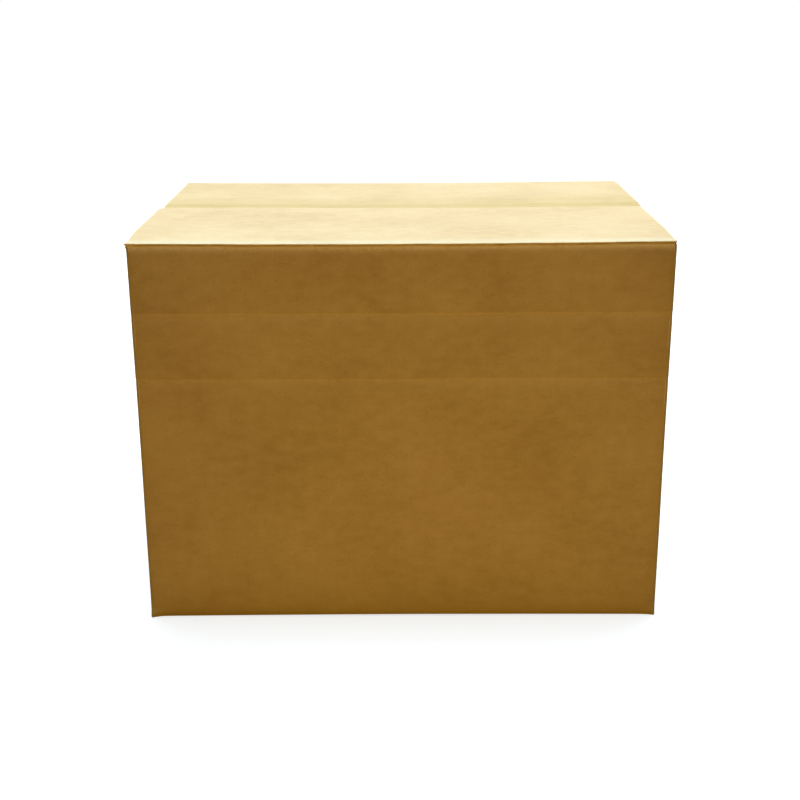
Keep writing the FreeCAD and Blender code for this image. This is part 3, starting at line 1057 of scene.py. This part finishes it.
tape = {
    "halfWidth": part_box("bottom_tape")[1][1],
    "leg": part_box("bottom_tape")[1][2],
    "thickness": 0.0001,
    "film": 0.00002,
    "toothPitch": 0.002,
    "toothDepth": 0.0012,
    "wrinkle": 0.00004,
    "stations": {"across": 97, "turn": 7, "leg": 24, "under": 60},
}


# Bottom tape: its section runs down one side wall, under the seam and up the other, and its cut
# ends are a row of small teeth, a triangle wave across the tape.
def makeTape(material):
    count = tape["stations"]
    across = np.linspace(-tape["halfWidth"], tape["halfWidth"], count["across"])
    faceX = halfWidth + tape["film"]
    low = carton["seamClearance"] - tape["film"]
    centreX = halfWidth - carton["outerInset"]
    r = faceX - centreX
    turn = np.radians(np.linspace(0, 90, count["turn"]))
    legZ = np.linspace(tape["leg"], low + r, count["leg"])
    flat = np.linspace(centreX, -centreX, count["under"])[1:-1]
    pathX = np.concatenate([0 * legZ + faceX, centreX + r * np.cos(turn)[1:], flat,
                            -centreX - r * np.sin(turn), 0 * legZ[1:] - faceX])
    pathZ = np.concatenate([legZ, low + r - r * np.sin(turn)[1:], 0 * flat + low,
                            low + r - r * np.cos(turn), legZ[::-1][1:]])
    slopeX, slopeZ = np.gradient(pathX), np.gradient(pathZ)
    size = np.hypot(slopeX, slopeZ)
    outX, outZ = -slopeZ / size, slopeX / size
    teeth = np.abs((across / tape["toothPitch"]) % 1 - 0.5) * 2 * tape["toothDepth"]
    ends = np.zeros(len(pathX))
    ends[0] = ends[-1] = 1
    drop = ends[:, None] * teeth[None, :]
    run = np.concatenate([[0], np.cumsum(np.hypot(np.diff(pathX), np.diff(pathZ)))])
    wrinkle = tape["wrinkle"] * np.abs(ripple(run[:, None], across[None, :], *rippleSizes["tape"]))

    def surface(offset):
        x = pathX[:, None] + outX[:, None] * offset
        z = pathZ[:, None] + outZ[:, None] * offset - drop
        return np.stack(np.broadcast_arrays(x, across[None, :], z), -1)

    blank = np.stack(np.broadcast_arrays(across[None, :], run[:, None]), -1)
    film = patch(surface(tape["thickness"] + wrinkle), surface(0.0), blank, recess=0.0)
    piece = makePiece("bottomTape", [sheetShell([film], 0, 0)], [material])
    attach(piece, "carton")
    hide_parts("bottom_tape")


tapeLook = {
    "film": (0.50, 0.31, 0.13, 1),
    "line": (0.40, 0.23, 0.09, 1),
    "lineStretch": (900.0, 12.0, 1.0),      # across the tape and along it
    "lineFade": (0.3, 0.7, 0.0, 0.25),
    "blister": (0.66, 0.46, 0.25, 1),
    "blisterScale": 320.0,
    "blisterFade": (0.5, 0.62),
    "blisterShare": 0.25,
    "rough": (0.28, 0.38),
    "coat": 0.1,
    "relief": 0.00001,
}


# Packing tape: smooth tan film, with faint draw lines along it and small unstuck blisters.
def tapeMaterial():
    material, tree, surface = startMaterial("tapeFilm")
    blank = blankPlace(tree)
    lines = noise(tree, scaled(tree, blank, tapeLook["lineStretch"]), 1.0, 2.0)
    blisters = ramp(tree, noise(tree, blank, tapeLook["blisterScale"], 3.0), *tapeLook["blisterFade"])
    lineShare = ramp(tree, lines, *tapeLook["lineFade"])
    colour = mixColour(tree, lineShare, tapeLook["film"], tapeLook["line"])
    blisterShare = maths(tree, "MULTIPLY", blisters, tapeLook["blisterShare"])
    feed(tree, surface.inputs["Base Color"], mixColour(tree, blisterShare, colour, tapeLook["blister"]))
    feed(tree, surface.inputs["Roughness"], ramp(tree, blisters, 0, 1, *tapeLook["rough"]))
    surface.inputs["Coat Weight"].default_value = tapeLook["coat"]
    relief = tree.nodes.new("ShaderNodeBump")
    relief.inputs["Distance"].default_value = tapeLook["relief"]
    feed(tree, relief.inputs["Height"], maths(tree, "ADD", lines, blisters))
    feed(tree, surface.inputs["Normal"], relief.outputs[0])
    return material


makeBody()
makeFlap("front", frontFlap, "front_flap", "top_front_flap")
makeFlap("back", backFlap, "back_flap", "top_back_flap")
makeTape(tapeMaterial())

studio = {
    "floorSize": 12.0,
    "floorPale": 0.72,          # near the carton, where the floor keeps its shadow
    "floorLit": (0.42, 0.42, 0.42, 1),
    "floorFade": (0.55, 1.3),
    "floorBounce": (0.12, 0.09, 0.05, 1),
    "glow": (0.50, 0.34, 0.07, 1),
    "glowHeight": 0.75,         # sine of the elevation at which the glow has died away
    "key": {"power": 137.0, "colour": (0.71, 0.89, 1.0), "size": 2.0, "place": (0.08, 0.55, 2.3),
            "aim": (0.0, 0.0, 0.25)},
    "fill": {"power": 0.98, "colour": (1.0, 0.65, 0.10), "size": 0.12, "place": (0.04, -0.75, 0.075),
             "aim": (0.0, 0.0, 0.03)},
}


# What the camera sees, straight or mirrored, is the shown shader, and what only throws light is the
# hidden one.
def showOrHide(tree, hidden, shown, outputKind):
    path = tree.nodes.new("ShaderNodeLightPath")
    mirrored = maths(tree, "MAXIMUM", path.outputs["Is Glossy Ray"], path.outputs["Is Transmission Ray"])
    mix = tree.nodes.new("ShaderNodeMixShader")
    feed(tree, mix.inputs[0], maths(tree, "MAXIMUM", path.outputs["Is Camera Ray"], mirrored))
    tree.links.new(hidden.outputs[0], mix.inputs[1])
    tree.links.new(shown.outputs[0], mix.inputs[2])
    output = tree.nodes.new(outputKind)
    tree.links.new(mix.outputs[0], output.inputs[0])


# Floor: to the camera a white sheet that the shadow greys a little, and to other rays a dull one
# that throws little light upwards.
def makeFloor():
    half = studio["floorSize"] / 2
    mesh = bpy.data.meshes.new("floor")
    corners = [(-half, -half, 0), (half, -half, 0), (half, half, 0), (-half, half, 0)]
    mesh.from_pydata(corners, [], [(0, 1, 2, 3)])
    floor = bpy.data.objects.new("floor", mesh)
    bpy.context.scene.collection.objects.link(floor)
    material = bpy.data.materials.new("paleFloor")
    material.use_nodes = True
    tree = material.node_tree
    tree.nodes.clear()
    lit = tree.nodes.new("ShaderNodeBsdfDiffuse")
    lit.inputs["Color"].default_value = studio["floorLit"]
    pale = tree.nodes.new("ShaderNodeEmission")
    centred = tree.nodes.new("ShaderNodeTexCoord")
    distance = tree.nodes.new("ShaderNodeVectorMath")
    distance.operation = "LENGTH"
    feed(tree, distance.inputs[0], centred.outputs["Object"])
    strength = ramp(tree, distance.outputs["Value"], *studio["floorFade"], studio["floorPale"], 1.0)
    feed(tree, pale.inputs["Strength"], strength)
    shown = tree.nodes.new("ShaderNodeAddShader")
    tree.links.new(lit.outputs[0], shown.inputs[0])
    tree.links.new(pale.outputs[0], shown.inputs[1])
    bounce = tree.nodes.new("ShaderNodeBsdfDiffuse")
    bounce.inputs["Color"].default_value = studio["floorBounce"]
    showOrHide(tree, bounce, shown, "ShaderNodeOutputMaterial")
    mesh.materials.append(material)


# World: white where it is seen or mirrored. Its light is a dim warm glow along the horizon that
# dies away with the sine of the elevation.
def makeWorld():
    world = bpy.data.worlds.new("studio")
    bpy.context.scene.world = world
    world.use_nodes = True
    tree = world.node_tree
    tree.nodes.clear()
    glow = tree.nodes.new("ShaderNodeBackground")
    glow.inputs[0].default_value = studio["glow"]
    direction = tree.nodes.new("ShaderNodeTexCoord")
    split = tree.nodes.new("ShaderNodeSeparateXYZ")
    feed(tree, split.inputs[0], direction.outputs["Generated"])
    feed(tree, glow.inputs[1], ramp(tree, split.outputs[2], 0.0, studio["glowHeight"], 1.0, 0.0))
    white = tree.nodes.new("ShaderNodeBackground")
    white.inputs[0].default_value = (1, 1, 1, 1)
    showOrHide(tree, glow, white, "ShaderNodeOutputWorld")


def makeLamp(name):
    size = studio[name]
    light = bpy.data.lights.new(name, "AREA")
    light.shape = "SQUARE"
    light.size = size["size"]
    light.energy = size["power"]
    light.color = size["colour"]
    lamp = bpy.data.objects.new(name, light)
    lamp.location = size["place"]
    away = Vector(size["place"]) - Vector(size["aim"])
    lamp.rotation_euler = away.to_track_quat("Z", "Y").to_euler()
    lamp.visible_camera = False
    bpy.context.scene.collection.objects.link(lamp)


camera = {
    "place": (-0.0005, -1.1115, 0.4888),
    "yaw": -0.07,
    "pitch": 18.55,
    "roll": 0.27,
    "focalPixels": 1314.5,
    "framePixels": 800,
    "centreBelow": 20,          # optical centre below the middle of the frame, in pixels
    "sensor": 36.0,
}


def makeCamera():
    data = bpy.data.cameras.new("camera")
    data.sensor_width = camera["sensor"]
    data.lens = camera["focalPixels"] / camera["framePixels"] * camera["sensor"]
    data.shift_y = camera["centreBelow"] / camera["framePixels"]
    data.clip_start = 0.01
    data.clip_end = 50
    seen = bpy.data.objects.new("camera", data)
    turn = (Matrix.Rotation(-math.radians(camera["yaw"]), 4, "Z")
            @ Matrix.Rotation(math.radians(90 - camera["pitch"]), 4, "X")
            @ Matrix.Rotation(-math.radians(camera["roll"]), 4, "Z"))
    seen.matrix_world = Matrix.Translation(camera["place"]) @ turn
    bpy.context.scene.collection.objects.link(seen)
    bpy.context.scene.camera = seen


makeFloor()
makeWorld()
makeLamp("key")
makeLamp("fill")
makeCamera()
print("studio ready")
bpy.context.scene.view_settings.view_transform = "Standard"
